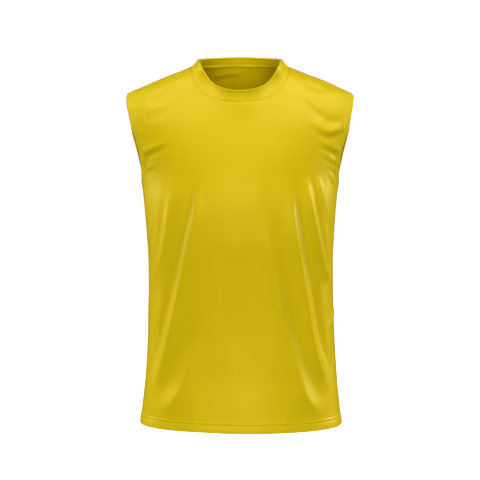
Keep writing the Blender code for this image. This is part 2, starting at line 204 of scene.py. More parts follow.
# The folds. A route runs over the form through (x, height), where the crest is seen from the
# front. The cloth rises slowly on the inner side and falls faster on the side away from the
# middle, into a valley beside it where there is one. A fold with a negative height is a hollow.
# Widths are those at its start, and it widens to its end. It fades in and out over the given
# shares of its length.
FOLD_COLUMNS = (
    "height", "rise_width", "fall_width", "widen", "start", "end", "valley", "valley_at", "route",
)
FOLDS = {
    "front": (
        (0.0062, 0.016, 0.0060, 1.3, 0.25, 0.30, 0.0044, 0.015,
         ((-0.068, -0.180), (-0.083, -0.265), (-0.102, -0.345), (-0.121, -0.433), (-0.149, -0.548),
          (-0.178, -0.628))),
        (0.0034, 0.010, 0.0050, 1.2, 0.45, 0.30, 0.0022, 0.012,
         ((-0.131, -0.222), (-0.145, -0.328), (-0.158, -0.377), (-0.173, -0.433))),
        (0.0050, 0.018, 0.0120, 1.2, 0.55, 0.30, 0.0034, 0.026,
         ((-0.068, -0.450), (-0.080, -0.509), (-0.100, -0.569), (-0.113, -0.607), (-0.139, -0.643),
          (-0.168, -0.666))),
        (0.0078, 0.016, 0.0055, 1.4, 0.28, 0.26, 0.0056, 0.015,
         ((0.089, -0.198), (0.097, -0.250), (0.107, -0.312), (0.126, -0.420), (0.139, -0.499),
          (0.155, -0.560), (0.184, -0.625))),
        (0.0068, 0.010, 0.0048, 1.2, 0.38, 0.12, 0.0044, 0.011,
         ((0.123, -0.196), (0.140, -0.273), (0.156, -0.341), (0.175, -0.408))),
        (0.0030, 0.006, 0.0045, 1.1, 0.35, 0.35, 0.0016, 0.009,
         ((0.147, -0.203), (0.165, -0.261), (0.178, -0.308))),
        (0.0070, 0.018, 0.0120, 1.2, 0.45, 0.16, 0.0046, 0.025,
         ((0.034, -0.215), (0.051, -0.311), (0.068, -0.395), (0.081, -0.475), (0.093, -0.521),
          (0.114, -0.587), (0.134, -0.634), (0.172, -0.664))),
        (0.0026, 0.005, 0.0050, 1.0, 0.10, 0.60, 0.0010, 0.010,
         ((0.186, -0.466), (0.176, -0.490), (0.165, -0.512))),
        (0.0013, 0.004, 0.0035, 1.2, 0.20, 0.60, 0.0006, 0.007,
         ((0.183, -0.228), (0.176, -0.211), (0.166, -0.196))),
        (0.0030, 0.007, 0.0042, 1.1, 0.28, 0.52, 0.0026, 0.0095,
         ((0.204, -0.112), (0.190, -0.1175), (0.1685, -0.1240), (0.148, -0.1140), (0.130, -0.099))),
        (0.0020, 0.005, 0.0034, 1.1, 0.25, 0.50, 0.0018, 0.0085,
         ((0.192, -0.163), (0.1802, -0.1560), (0.170, -0.1510), (0.1587, -0.1455), (0.146, -0.138))),
        (0.0008, 0.0035, 0.0028, 1.1, 0.30, 0.45, 0.0006, 0.0065,
         ((0.190, -0.1855), (0.174, -0.1755), (0.160, -0.1655), (0.148, -0.157))),
        (0.0008, 0.0032, 0.0026, 1.1, 0.25, 0.50, 0.0006, 0.0060,
         ((0.187, -0.202), (0.176, -0.1915), (0.1645, -0.183))),
        (-0.0026, 0.007, 0.0065, 1.0, 0.40, 0.15, 0.0, 0.010,
         ((0.106, -0.054), (0.1266, -0.073), (0.1418, -0.087), (0.1600, -0.099), (0.1745, -0.104),
          (0.196, -0.101))),
        (-0.0022, 0.009, 0.0090, 1.0, 0.40, 0.40, 0.0, 0.010,
         ((0.114, -0.026), (0.132, -0.036), (0.146, -0.042), (0.170, -0.053))),
        (0.0028, 0.0062, 0.0034, 1.0, 0.15, 0.50, 0.0026, 0.0080,
         ((-0.186, -0.165), (-0.1747, -0.1595), (-0.160, -0.1525), (-0.1453, -0.1450), (-0.132, -0.136))),
        (0.0008, 0.005, 0.0034, 1.0, 0.10, 0.55, 0.0006, 0.007,
         ((-0.182, -0.176), (-0.172, -0.171), (-0.157, -0.165))),
        (0.0007, 0.005, 0.0034, 1.0, 0.10, 0.55, 0.0005, 0.007,
         ((-0.179, -0.196), (-0.168, -0.189), (-0.154, -0.181))),
        (0.0023, 0.016, 0.0060, 1.0, 0.20, 0.40, 0.0, 0.010,
         ((-0.186, -0.190), (-0.1815, -0.235), (-0.178, -0.285), (-0.174, -0.335))),
        (-0.0028, 0.009, 0.0080, 1.0, 0.25, 0.40, 0.0, 0.010,
         ((-0.180, -0.068), (-0.162, -0.063), (-0.144, -0.057), (-0.122, -0.040), (-0.106, -0.024))),
        (0.0018, 0.007, 0.0070, 1.0, 0.40, 0.40, 0.0, 0.010,
         ((-0.156, -0.047), (-0.141, -0.037), (-0.120, -0.026))),
        (-0.0012, 0.008, 0.0080, 1.1, 0.15, 0.50, 0.0, 0.010,
         ((-0.182, -0.102), (-0.158, -0.094), (-0.138, -0.086), (-0.116, -0.074))),
        (0.0016, 0.016, 0.0150, 1.2, 0.50, 0.50, 0.0, 0.010,
         ((-0.030, -0.330), (-0.040, -0.420), (-0.052, -0.510), (-0.060, -0.600))),
        (0.0012, 0.014, 0.0140, 1.2, 0.50, 0.50, 0.0, 0.010,
         ((0.010, -0.360), (0.018, -0.450), (0.034, -0.540), (0.050, -0.620))),
    ),
    "back": (
        (0.0062, 0.017, 0.0110, 1.4, 0.40, 0.15, 0.0030, 0.022,
         ((-0.062, -0.170), (-0.084, -0.290), (-0.112, -0.430), (-0.148, -0.560), (-0.172, -0.622))),
        (0.0064, 0.016, 0.0100, 1.5, 0.35, 0.15, 0.0034, 0.021,
         ((0.064, -0.185), (0.080, -0.310), (0.112, -0.450), (0.148, -0.575), (0.176, -0.632))),
        (0.0060, 0.017, 0.0160, 1.2, 0.45, 0.20, 0.0020, 0.032,
         ((-0.062, -0.460), (-0.088, -0.545), (-0.124, -0.620), (-0.168, -0.664))),
        (0.0056, 0.016, 0.0150, 1.2, 0.45, 0.20, 0.0020, 0.030,
         ((0.048, -0.480), (0.072, -0.560), (0.110, -0.628), (0.162, -0.667))),
        (0.0046, 0.009, 0.0065, 1.3, 0.25, 0.25, 0.0030, 0.013,
         ((0.112, -0.190), (0.132, -0.285), (0.153, -0.365), (0.174, -0.428))),
        (0.0042, 0.009, 0.0065, 1.3, 0.25, 0.25, 0.0026, 0.013,
         ((-0.118, -0.188), (-0.136, -0.280), (-0.156, -0.358), (-0.175, -0.424))),
        (-0.0050, 0.024, 0.0240, 1.1, 0.40, 0.40, 0.0, 0.010,
         ((0.004, -0.110), (0.000, -0.200), (0.006, -0.290), (0.010, -0.370))),
        (0.0032, 0.012, 0.0100, 1.0, 0.50, 0.50, 0.0, 0.010,
         ((-0.092, -0.325), (-0.030, -0.352), (0.040, -0.350), (0.104, -0.322))),
        (0.0028, 0.011, 0.0100, 1.0, 0.50, 0.50, 0.0, 0.010,
         ((-0.060, -0.378), (0.000, -0.396), (0.060, -0.388), (0.112, -0.362))),
        (0.0022, 0.011, 0.0100, 1.0, 0.50, 0.50, 0.0, 0.010,
         ((-0.106, -0.390), (-0.044, -0.424), (0.026, -0.434))),
        (0.0042, 0.010, 0.0060, 1.2, 0.03, 0.55, 0.0036, 0.016,
         ((0.206, -0.116), (0.172, -0.126), (0.140, -0.122), (0.100, -0.106))),
        (0.0034, 0.008, 0.0055, 1.2, 0.03, 0.55, 0.0026, 0.013,
         ((0.192, -0.166), (0.166, -0.164), (0.138, -0.152), (0.108, -0.138))),
        (0.0040, 0.010, 0.0060, 1.2, 0.03, 0.55, 0.0034, 0.016,
         ((-0.206, -0.124), (-0.172, -0.134), (-0.142, -0.128), (-0.104, -0.112))),
        (0.0030, 0.008, 0.0055, 1.2, 0.03, 0.55, 0.0024, 0.012,
         ((-0.190, -0.176), (-0.162, -0.172), (-0.136, -0.158))),
        (-0.0028, 0.005, 0.0045, 1.0, 0.40, 0.40, 0.0, 0.010,
         ((-0.058, -0.022), (-0.045, -0.019), (-0.022, -0.0135), (0.002, -0.0095), (0.018, -0.008))),
        (0.0024, 0.006, 0.0050, 1.0, 0.40, 0.40, 0.0, 0.010,
         ((-0.062, -0.036), (-0.051, -0.029), (-0.027, -0.021), (-0.002, -0.0145))),
    ),
}
CREST_RADIUS = 0.0032
# In widths of the fold: where its crest fades out, how wide a hollow is, and where both have ended
CREST_FADE = (2.5, 4.5)
HOLLOW_WIDTH = 1.3
FOLD_REACH = 5
VALLEY_WIDTH = 0.62
ROUTE_STEPS = 40
# Folds fade out over this distance from the side and shoulder seams
SEAM_FADE = 0.018

# Slow waves of the cloth, as lengths along X, Y and Z, a phase and a height
WAVE_COLUMNS = ("x_length", "y_length", "z_length", "phase", "height")
WAVES = (
    (0.190, 0.260, 0.830, 0.4, 0.00045),
    (-0.131, 0.170, 0.470, 2.1, 0.00035),
    (0.087, -0.210, 0.310, 4.0, 0.00022),
    (0.061, 0.093, -0.270, 1.3, 0.00014),
    (0.043, -0.071, 0.150, 5.2, 0.00008),
    (-0.036, 0.058, 0.110, 3.3, 0.00006),
)

# Fineness of the panels: rows of the hem, the body, the armpit, the armhole and the shoulder,
# and columns of half a panel, with those of its turned edge
HEM_ZONE = 0.0260
HEM_ROWS = 20
BODY_ROWS = 84
ARMPIT_ZONE = 0.020
ARMPIT_ROWS = 12
ARMHOLE_ROWS = 62
TIP_ROWS = 12
SHOULDER_ROWS = 24
MIDDLE_ZONE = 0.055
MIDDLE_COLUMNS = 12
SIDE_COLUMNS = 78
EDGE_ZONE = 0.018
EDGE_COLUMNS = 15
# The armhole's share of the way from armpit to neck point, and the shoulder's first part
ARMHOLE_SHARE = 12 / 19
TIP_SHARE = 0.045
LINE_STEPS = 300
NECK_LINE_STATIONS = 160
HALVINGS = 40
LEAST_EDGE_TURN = 0.3
NORMAL_STEP = 0.002
QUARTER_TURN = math.pi / 2
# A free edge is a fold through these angles, where the armhole is open by more than this
EDGE_ANGLES = (30, 60, 90, 120, 150)
LEAST_OPEN_GAP = 0.002
# Beyond these reaches the armhole's edge and the neck seam have no effect on the cloth
ARMHOLE_ZONE_FROM = 0.13
ARMHOLE_ZONE_BELOW = 0.04
NECK_ZONE = 0.07
FAR = 1.0

# The knit: the width and height of a stitch, how far its legs slant, how strongly they and the
# slubs are raised, and the length of cloth between the neckband's stations
WALE = 0.00078
COURSE = 0.00058
LEG_SLANT = 0.85
LEG_RELIEF = 0.4
SLUB_RELIEF = 1.6
MOTTLE_SHARE = 0.65
SLUB_SHARE = 0.35
BAND_STATION_KNIT = 0.0013
# Scale and detail of the slubs and of the mottle, strength and height of a relief, and a ply's
# scale, distortion and the darkening painted into the grooves between plies as shade
SLUB_NOISE = (420.0, 3.0)
MOTTLE_NOISE = (9.0, 4.0)
KNIT_RAISE = (0.18, 0.00009)
THREAD_RAISE = (0.3, 0.0001)
PLY_SCALE = 900.0
PLY_DISTORTION = 1.5
PLY_GROOVE_PAINTED_SHADE = 0.82

# Colours, as linear light
YELLOW = (0.600, 0.432, 0.0010)
YELLOW_PALE = (0.640, 0.468, 0.0018)
THREAD_YELLOW = (0.600, 0.430, 0.002)
PALE = (0.90, 0.90, 0.89)
GLOSS_YELLOW = (1.0, 0.82, 0.12)
NAP_YELLOW = (1.0, 0.86, 0.25)

# The camera and the studio
CAMERA_DISTANCE = 3.2
CAMERA_ELEVATION = 5.0
CAMERA_TARGET = (0.0, 0.0, -0.3341)
PICTURE_SPAN = 0.929
SENSOR = 36.0
FLOOR_HEIGHT = -1.15
FLOOR_RADIUS = 5.5
FLOOR_SWEEP = 3.0
FLOOR_SWEEP_RINGS = 12
FLOOR_SIDES = 96
WALL_HEIGHT = 4.0
FLOOR_GLOW = 0.74
SKY_LOW = 0.18
SKY_HIGH = 0.38
SKY_TOP = 0.8
LAMP_COLUMNS = ("name", "azimuth", "elevation", "distance", "size", "power", "diffuse", "gloss")
LAMPS = (
    ("key_left", -48.0, 56.0, 3.4, 2.7, 35.0, True, True),
    ("key_right", 48.0, 56.0, 3.4, 2.7, 35.0, True, True),
    ("sheen_left", -48.0, 56.0, 3.4, 2.7, 44.0, False, True),
    ("sheen_right", 48.0, 56.0, 3.4, 2.7, 44.0, False, True),
    ("front_fill", 0.0, 5.0, 4.5, 2.5, 127.0, True, False),
    ("rim_left", -115.0, 14.0, 3.4, 1.6, 104.0, True, False),
    ("rim_right", 115.0, 14.0, 3.4, 1.6, 104.0, True, False),
    ("glint_left", -99.0, 7.0, 3.4, 1.1, 7.5, False, True),
    ("glint_right", 99.0, 7.0, 3.4, 1.1, 20.0, False, True),
)


# ---- the form


def named_rows(columns, rows):
    """A table's rows, each with its values under their columns' names."""
    return [dict(zip(columns, row)) for row in rows]


SECTION = dict(zip(SECTION_COLUMNS, np.array(SECTIONS[::-1]).T))


def along_table(name, height):
    """A smooth curve through one column of the sections, without overshoot."""
    knots = SECTION["height"]
    values = SECTION[name]
    step = np.diff(knots)
    rise = np.diff(values) / step
    same_way = rise[:-1] * rise[1:] > 0
    lower = np.where(same_way, rise[:-1], 1.0)
    upper = np.where(same_way, rise[1:], 1.0)
    first = 2 * step[1:] + step[:-1]
    second = step[1:] + 2 * step[:-1]
    inner = np.where(same_way, (first + second) / (first / lower + second / upper), 0.0)
    slope = np.concatenate([rise[:1], inner, rise[-1:]])
    k = np.clip(np.searchsorted(knots, height) - 1, 0, len(step) - 1)
    t = (height - knots[k]) / step[k]
    value = values[k] * (1 + 2 * t) * (1 - t) ** 2 + values[k + 1] * t**2 * (3 - 2 * t)
    return value + step[k] * (slope[k] * t * (1 - t) ** 2 + slope[k + 1] * t**2 * (t - 1))


def form_point(panel, turn, height):
    """A point of the worn form. The turn is 0 at the panel's middle and a quarter turn at its side."""
    way = -1.0 if panel == "front" else 1.0
    width = along_table("half_width", height)
    depth = along_table(panel + "_depth", height)
    power = along_table(panel + "_power", height)
    flat = np.abs(np.sin(turn) / width) ** power + np.abs(np.cos(turn) / depth) ** power
    reach = flat ** (-1 / power)
    x = along_table("middle", height) + reach * np.sin(turn)
    return np.stack([x, way * reach * np.cos(turn), height + 0 * turn], axis=-1)


def form_normal(panel, turn, height):
    """The outward direction of the worn form."""
    way = 1.0 if panel == "front" else -1.0
    nudge = NORMAL_STEP
    across = form_point(panel, turn + nudge, height) - form_point(panel, turn - nudge, height)
    upward = form_point(panel, turn, height + nudge) - form_point(panel, turn, height - nudge)
    return unit(way * np.cross(across, upward))


def armhole_gap(panel, height):
    """Half the armhole's opening at this height, from the side seam's line to the panel's edge."""
    reach = ARMHOLE_FRONT_REACH if panel == "front" else ARMHOLE_BACK_REACH
    share = np.clip(1 - np.abs((height - ARMHOLE_MIDDLE) / ARMHOLE_HALF) ** ARMHOLE_POWER, 0, 1)
    return reach * share ** (1 / ARMHOLE_POWER)


def turn_at_depth(panel, gap, height):
    """The turn at which the form is this far in front of or behind the side seam's line."""
    low = 0 * gap + LEAST_EDGE_TURN
    high = 0 * gap + QUARTER_TURN
    for _ in range(HALVINGS):
        middle = (low + high) / 2
        inside = np.abs(form_point(panel, middle, height)[..., 1]) > gap
        low = np.where(inside, middle, low)
        high = np.where(inside, high, middle)
    return np.where(gap > 0, (low + high) / 2, QUARTER_TURN)


def neck_seam(panel, shares):
    """Turn and height of the neck seam, from the panel's middle to the neck point."""
    lean = np.linspace(0, 1, LINE_STEPS) * QUARTER_TURN
    if panel == "front":
        x = NECK_HALF_WIDTH * np.sin(lean) ** (2 / FRONT_NECK_POWER)
        height = -FRONT_NECK_DROP * np.cos(lean) ** (2 / FRONT_NECK_POWER)
        share = np.clip(x / along_table("half_width", height), 0, 1)
        power = along_table("front_power", height)
        depth = along_table("front_depth", height) * np.clip(1 - share**power, 0, 1) ** (1 / power)
        turn = np.arctan2(x, depth)
    else:
        turn = lean
        height = BACK_NECK_RISE * np.cos(lean) ** 2
    turn[-1] = QUARTER_TURN
    height[-1] = 0.0
    return along_length(form_point(panel, turn, height), (turn, height), shares)


def hung(turn, height):
    """The height with the small lift of the hem towards the side at -X."""
    low = np.clip((HEM_RISE_START - height) / (HEM_RISE_START - HEM_HEIGHT), 0, 1) ** 2
    aside = np.clip(-turn / HEM_RISE_TURN, 0, 1)
    return height + HEM_SIDE_RISE * low * smoothstep(aside)


# ---- lines


def smoothstep(share):
    return share * share * (3 - 2 * share)


def ramp(value, start, end):
    return smoothstep(np.clip((value - start) / (end - start), 0, 1))


def bump(value, width):
    return np.exp(-((value / width) ** 2))


def unit(vectors):
    return vectors / np.maximum(np.linalg.norm(vectors, axis=-1, keepdims=True), 1e-12)


def run_along(points):
    """The length of a line up to each of its points."""
    return np.concatenate([[0.0], np.cumsum(np.linalg.norm(np.diff(points, axis=0), axis=1))])


def read_along(run, columns, at):
    """The points or values whose lengths along a line are given, read at other lengths."""
    return np.stack([np.interp(at, run, column) for column in columns.T], axis=-1)


def along_length(points, values, shares):
    """The values at these shares of a line's length."""
    run = run_along(points)
    return [np.interp(shares * run[-1], run, value) for value in values]


def smooth_line(corners, count):
    """Points of a smooth curve through the corners."""
    corners = np.array(corners, float)
    ends = np.vstack([2 * corners[0] - corners[1], corners, 2 * corners[-1] - corners[-2]])
    at = np.linspace(0, len(corners) - 1, count)
    k = np.minimum(at.astype(int), len(corners) - 2)
    t = (at - k)[:, None]
    before, start, end, after = (ends[k + shift] for shift in range(4))
    bend = (2 * before - 5 * start + 4 * end - after) * t**2 + (3 * start - before - 3 * end + after) * t**3
    return start + ((end - before) * t + bend) / 2


def nearest(points, line):
    """The distance from each point to a line, the share of its length where it is nearest, and
    the side of it seen from the front: 1 to the left of its way and -1 to the right."""
    run = run_along(line)
    gap = np.full(len(points), np.inf)
    share = np.zeros(len(points))
    side = np.ones(len(points))
    for k, (start, end) in enumerate(zip(line[:-1], line[1:])):
        step = end - start
        length = np.linalg.norm(step)
        t = np.clip((points - start) @ step / length**2, 0, 1)
        away = np.linalg.norm(points - start - t[:, None] * step, axis=1)
        nearer = away < gap
        gap[nearer] = away[nearer]
        share[nearer] = (run[k] + t[nearer] * length) / run[-1]
        away_x = points[nearer, 0] - start[0]
        away_z = points[nearer, 2] - start[2]
        side[nearer] = np.sign(step[0] * away_z - step[2] * away_x)
    return gap, share, side


def route_on_form(panel, route, height):
    """A fold's route as points on the form, such that its crest is seen at the stated x."""
    turns = np.linspace(-QUARTER_TURN, QUARTER_TURN, LINE_STEPS)
    points = []
    for x, level in smooth_line(route, ROUTE_STEPS):
        section = form_point(panel, turns, level + 0 * turns)
        turn = np.interp(x, section[:, 0], turns)
        aside = form_normal(panel, np.array(turn), np.array(level))[0]
        turn = np.interp(x - aside * height, section[:, 0], turns)
        points.append(form_point(panel, turn, np.array(level)))
    return np.array(points)


# ---- the sewn edges as lines


def armhole_line(side):
    """The armhole's edge as a closed line, up the front and down the back."""
    arc = np.linspace(0, math.pi, LINE_STEPS // 3)
    height = ARMHOLE_MIDDLE - ARMHOLE_HALF * np.cos(arc)
    line = []
    for panel, way in (("front", 1), ("back", -1)):
        turn = side * turn_at_depth(panel, armhole_gap(panel, height), height)
        line.append(form_point(panel, turn, height)[::way])
    return np.vstack([line[0], line[1][1:]])


def collar_lift(panel, points, neck):
    """How far the front of the collar stands forward, by the distance from the neck seam."""
    if panel == "back":
        return 0 * neck
    towards_middle = ramp(COLLAR_HALF_WIDTH - np.abs(points[:, 0]), 0, COLLAR_HALF_WIDTH)
    return COLLAR_LIFT * towards_middle * bump(neck, COLLAR_FADE)


def neck_line(stations):
    """Points evenly spaced round the whole neck seam, seen from above anticlockwise."""
    shares = np.linspace(0, 1, LINE_STEPS)
    quarters = []
    for panel, way, flip in (("front", 1, 1), ("back", 1, -1), ("back", -1, 1), ("front", -1, -1)):
        turn, height = neck_seam(panel, shares)
        points = form_point(panel, way * turn, height)
        lift = collar_lift(panel, points, 0 * turn)
        points = points + form_normal(panel, way * turn, height) * lift[:, None]
        quarters.append(points[::flip][:-1])
    loop = np.vstack(quarters)
    loop = np.vstack([loop, loop[:1]])
    return np.stack(along_length(loop, loop.T, np.arange(stations) / stations), axis=-1)


ARMHOLE_LINES = {side: armhole_line(side) for side in (-1, 1)}
NECK_LINE = neck_line(NECK_LINE_STATIONS)
FOLD_LINES = {"front": [], "back": []}
for panel, rows in FOLDS.items():
    for fold in named_rows(FOLD_COLUMNS, rows):
        fold["outer"] = math.copysign(1, sum(x for x, height in fold["route"]))
        FOLD_LINES[panel].append((fold, route_on_form(panel, fold["route"], fold["height"])))


# ---- relief of the cloth


def fold_relief(panel, points):
    """How far the folds stand out from the form."""
    lift = np.zeros(len(points))
    for fold, line in FOLD_LINES[panel]:
        reach = FOLD_REACH * fold["rise_width"] * fold["widen"] + fold["valley_at"]
        near = np.all((points > line.min(axis=0) - reach) & (points < line.max(axis=0) + reach), axis=1)
        gap, share, side = nearest(points[near], line)
        outward = gap * side * fold["outer"]
        wide = 1 + (fold["widen"] - 1) * share
        width = wide * np.where(outward < 0, fold["rise_width"], fold["fall_width"])
        crest = np.exp(-(np.hypot(gap, CREST_RADIUS) - CREST_RADIUS) / width)
        crest *= 1 - ramp(gap, CREST_FADE[0] * width, CREST_FADE[1] * width)
        if fold["height"] < 0:
            crest = bump(gap, HOLLOW_WIDTH * width)
        valley_at = fold["valley_at"] * wide
        valley = fold["valley"] * bump(outward - valley_at, valley_at * VALLEY_WIDTH)
        ends = ramp(share, 0, fold["start"]) * ramp(1 - share, 0, fold["end"])
        lift[near] += ends * (fold["height"] * crest - valley)
    return lift * ramp(np.abs(points[:, 1]), 0, SEAM_FADE)


def wave_relief(points):
    lift = np.zeros(len(points))
    for wave in named_rows(WAVE_COLUMNS, WAVES):
        lengths = np.array([wave["x_length"], wave["y_length"], wave["z_length"]])
        lift += wave["height"] * np.cos(2 * math.pi * (points / lengths).sum(axis=1) + wave["phase"])
    return lift


def turned_relief(distance, along, needles):
    """A turned and twin-stitched edge: two ditches, the ridge between, and small puckers."""
    first, second = needles
    puff = EDGE_PUFF * ramp(-distance, -second - PUFF_FADE, -second)
    ditches = STITCH_DITCH * sum(bump(distance - needle, STITCH_DITCH_WIDTH) for needle in needles)
    ridge = EDGE_PUFF * bump(distance - (first + second) / 2, (second - first) / RIDGE_NARROWING)
    beat = along / PUCKER_LENGTH
    waver = np.sin(beat * 2 * math.pi + PUCKER_WAVER * np.sin(beat * PUCKER_DRIFT))
    pucker = PUCKER * waver * bump(distance - second - PUCKER_PAST_NEEDLE, PUCKER_WIDTH)
    return puff + ridge - ditches + pucker


def doubled(distance, needles):
    """1 where the turned cloth lies double, and 0 past its end."""
    end = needles[1] + TURNING_PAST_NEEDLE
    return ramp(-distance, -end - TURNING_STEP, -end)


def seam_relief(distance):
    """A plain seam: a narrow ditch with the cloth puffed up beside it."""
    puffed = SEAM_PUFF * bump(distance - SEAM_PUFF_AT, SEAM_PUFF_WIDTH)
    return puffed - SEAM_DITCH * bump(distance, SEAM_DITCH_WIDTH)


def edge_distances(turn, points):
    """Distances from the hem's edge, from the nearer armhole's edge and from the neck seam."""
    hem = points[:, 2] - hung(turn, HEM_HEIGHT + 0 * turn)
    armhole = np.full(len(points), FAR)
    armhole_run = np.zeros(len(points))
    neck = np.full(len(points), FAR)
    level = (points[:, 2] > ARMPIT_HEIGHT - ARMHOLE_ZONE_BELOW) & (points[:, 2] < 0)
    for side, line in ARMHOLE_LINES.items():
        near = (points[:, 0] * side > ARMHOLE_ZONE_FROM) & level
        gap, share, _ = nearest(points[near], line)
        armhole[near] = gap
        armhole_run[near] = share * run_along(line)[-1]
    near = np.abs(points[:, 0]) < NECK_HALF_WIDTH + NECK_ZONE
    near &= points[:, 2] > -FRONT_NECK_DROP - NECK_ZONE
    neck[near] = nearest(points[near], np.vstack([NECK_LINE, NECK_LINE[:1]]))[0]
    return hem, armhole, armhole_run, neck


def cloth_surface(panel, turn, height):
    """The cloth's outer face: its points, its outward direction, and its thickness there."""
    turn = np.asarray(turn, float)
    shape = turn.shape
    turn = turn.ravel()
    height = np.asarray(height, float).ravel()
    base = form_point(panel, turn, height)
    normal = form_normal(panel, turn, height)
    hem, armhole, armhole_run, neck = edge_distances(turn, base)
    lift = fold_relief(panel, base) + wave_relief(base)
    lift += turned_relief(hem, base[:, 0] + base[:, 1], HEM_NEEDLES)
    lift += turned_relief(armhole, armhole_run, ARMHOLE_NEEDLES)
    lift += seam_relief(np.abs(base[:, 1])) * ramp(armhole, 0.0, SEAM_START)
    lift += NECK_SEAM_SHARE * seam_relief(neck) + collar_lift(panel, base, neck)
    thick = CLOTH * (1 + np.maximum(doubled(hem, HEM_NEEDLES), doubled(armhole, ARMHOLE_NEEDLES)))
    outer = base + normal * lift[:, None]
    return outer.reshape(*shape, 3), normal.reshape(*shape, 3), thick.reshape(shape)


# ---- panels


def side_height(progress):
    """Height at the panel's side for a share of the way from armpit to neck point."""
    arc = np.clip(progress / ARMHOLE_SHARE, 0, 1) * math.pi
    ridge_height = np.linspace(SHOULDER_TIP_HEIGHT, 0, LINE_STEPS)
    ridge = form_point("front", 0 * ridge_height + QUARTER_TURN, ridge_height)
    beyond = np.clip((progress - ARMHOLE_SHARE) / (1 - ARMHOLE_SHARE), 0, 1)
    shoulder = along_length(ridge, (ridge_height,), beyond)[0]
    armhole = ARMHOLE_MIDDLE - ARMHOLE_HALF * np.cos(arc)
    return np.where(progress < ARMHOLE_SHARE, armhole, shoulder)


def panel_rows():
    """The level rows up to the armpit, and the shares of the way from there to the neck point."""
    low = HEM_HEIGHT + HEM_ZONE
    top = ARMPIT_HEIGHT - ARMPIT_ZONE
    level = np.concatenate([
        np.linspace(HEM_HEIGHT, low, HEM_ROWS, endpoint=False),
        np.linspace(low, top, BODY_ROWS, endpoint=False),
        np.linspace(top, ARMPIT_HEIGHT, ARMPIT_ROWS + 1),
    ])
    tip = ARMHOLE_SHARE + TIP_SHARE
    raised = np.concatenate([
        np.linspace(0, ARMHOLE_SHARE, ARMHOLE_ROWS + 1)[1:],
        np.linspace(ARMHOLE_SHARE, tip, TIP_ROWS + 1)[1:],
        np.linspace(tip, 1, SHOULDER_ROWS + 1)[1:],
    ])
    return level, raised


def panel_grid(panel):
    """Turn and height of each point of a panel, row by row from the hem to the neck seam."""
    level, raised = panel_rows()
    share = np.linspace(0, 1, LINE_STEPS)
    waist = form_point(panel, share * QUARTER_TURN, 0 * share + WAIST_HEIGHT)
    even = along_length(waist, (share,), share)[0]
    neck_turn, neck_height = neck_seam(panel, share)
    neck_rise = (neck_height - neck_height[0]) / (neck_height[-1] - neck_height[0])
    turns = []
    heights = []
    ups = np.concatenate([0 * level, raised])
    for up, at_side in zip(ups, np.concatenate([level, side_height(raised)])):
        gap = armhole_gap(panel, np.array([at_side]))
        end = turn_at_depth(panel, gap, np.array([at_side]))[0]
        middle = at_side if up == 0 else ARMPIT_HEIGHT + up * (neck_height[0] - ARMPIT_HEIGHT)
        turn = end * ((1 - up) * even + up * neck_turn / QUARTER_TURN)
        level_bend = smoothstep(turn / QUARTER_TURN) / smoothstep(end / QUARTER_TURN)
        to_neck = ramp(up, ARMHOLE_SHARE, 1.0)
        bend = (1 - to_neck) * level_bend + to_neck * neck_rise
        height = middle + (at_side - middle) * bend
        line = form_point(panel, turn, height)
        length = run_along(line)[-1]
        middle_end = min(MIDDLE_ZONE, length / 3) / length
        side_end = 1 - EDGE_ZONE / length
        stops = np.concatenate([
            np.linspace(0, middle_end, MIDDLE_COLUMNS, endpoint=False),
            np.linspace(middle_end, side_end, SIDE_COLUMNS, endpoint=False),
            np.linspace(side_end, 1, EDGE_COLUMNS + 1),
        ])
        turn, height = along_length(line, (turn, height), stops)
        turns.append(turn)
        heights.append(height)
    turns = np.array(turns)
    heights = np.array(heights)
    turns = np.hstack([-turns[:, :0:-1], turns])
    heights = np.hstack([heights[:, :0:-1], heights])
    return turns, hung(turns, heights)


def add_object(name, data):
    item = bpy.data.objects.new(name, data)
    bpy.context.scene.collection.objects.link(item)
    return item


def smooth_mesh(name, points, faces, material):
    mesh = bpy.data.meshes.new(name)
    mesh.from_pydata(np.asarray(points, float).reshape(-1, 3).tolist(), [], faces)
    mesh.shade_smooth()
    mesh.materials.append(material)
    return mesh


def mesh_object(name, points, faces, material, places=None):
    """A piece made from points and faces. Its places are cloth coordinates for the knit."""
    mesh = smooth_mesh(name, points, faces, material)
    if places is not None:
        corner = np.empty(len(mesh.loops), np.int32)
        mesh.loops.foreach_get("vertex_index", corner)
        knit = mesh.uv_layers.new(name="knit")
        knit.uv.foreach_set("vector", np.asarray(places, np.float32)[corner].ravel())
    item = add_object(name, mesh)
    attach(item, "root")
    return item


def grid_faces(rows, columns):
    """The quads of a grid of points."""
    at = np.arange(rows * columns).reshape(rows, columns)
    quads = np.stack([at[:-1, :-1], at[:-1, 1:], at[1:, 1:], at[1:, :-1]], axis=-1)
    return quads.reshape(-1, 4)


def grid_rim(rows, columns):
    """Rows and columns of the points round a grid's rim."""
    rim = [(0, c) for c in range(columns)]
    rim += [(r, columns - 1) for r in range(1, rows)]
    rim += [(rows - 1, c) for c in range(columns - 2, -1, -1)]
    rim += [(r, 0) for r in range(rows - 2, 0, -1)]
    return np.array(rim)


def cloth_places(outer):
    """Cloth coordinates of a panel's points: across from its middle, and up from the hem."""
    rows, columns = outer.shape[:2]
    across = np.cumsum(np.linalg.norm(np.diff(outer, axis=1), axis=2), axis=1)
    upward = np.cumsum(np.linalg.norm(np.diff(outer, axis=0), axis=2), axis=0)
    across = np.hstack([np.zeros((rows, 1)), across])
    upward = np.vstack([np.zeros((1, columns)), upward])
    across = across - across[:, columns // 2][:, None]
    return np.stack([across, upward], axis=-1).reshape(-1, 2)


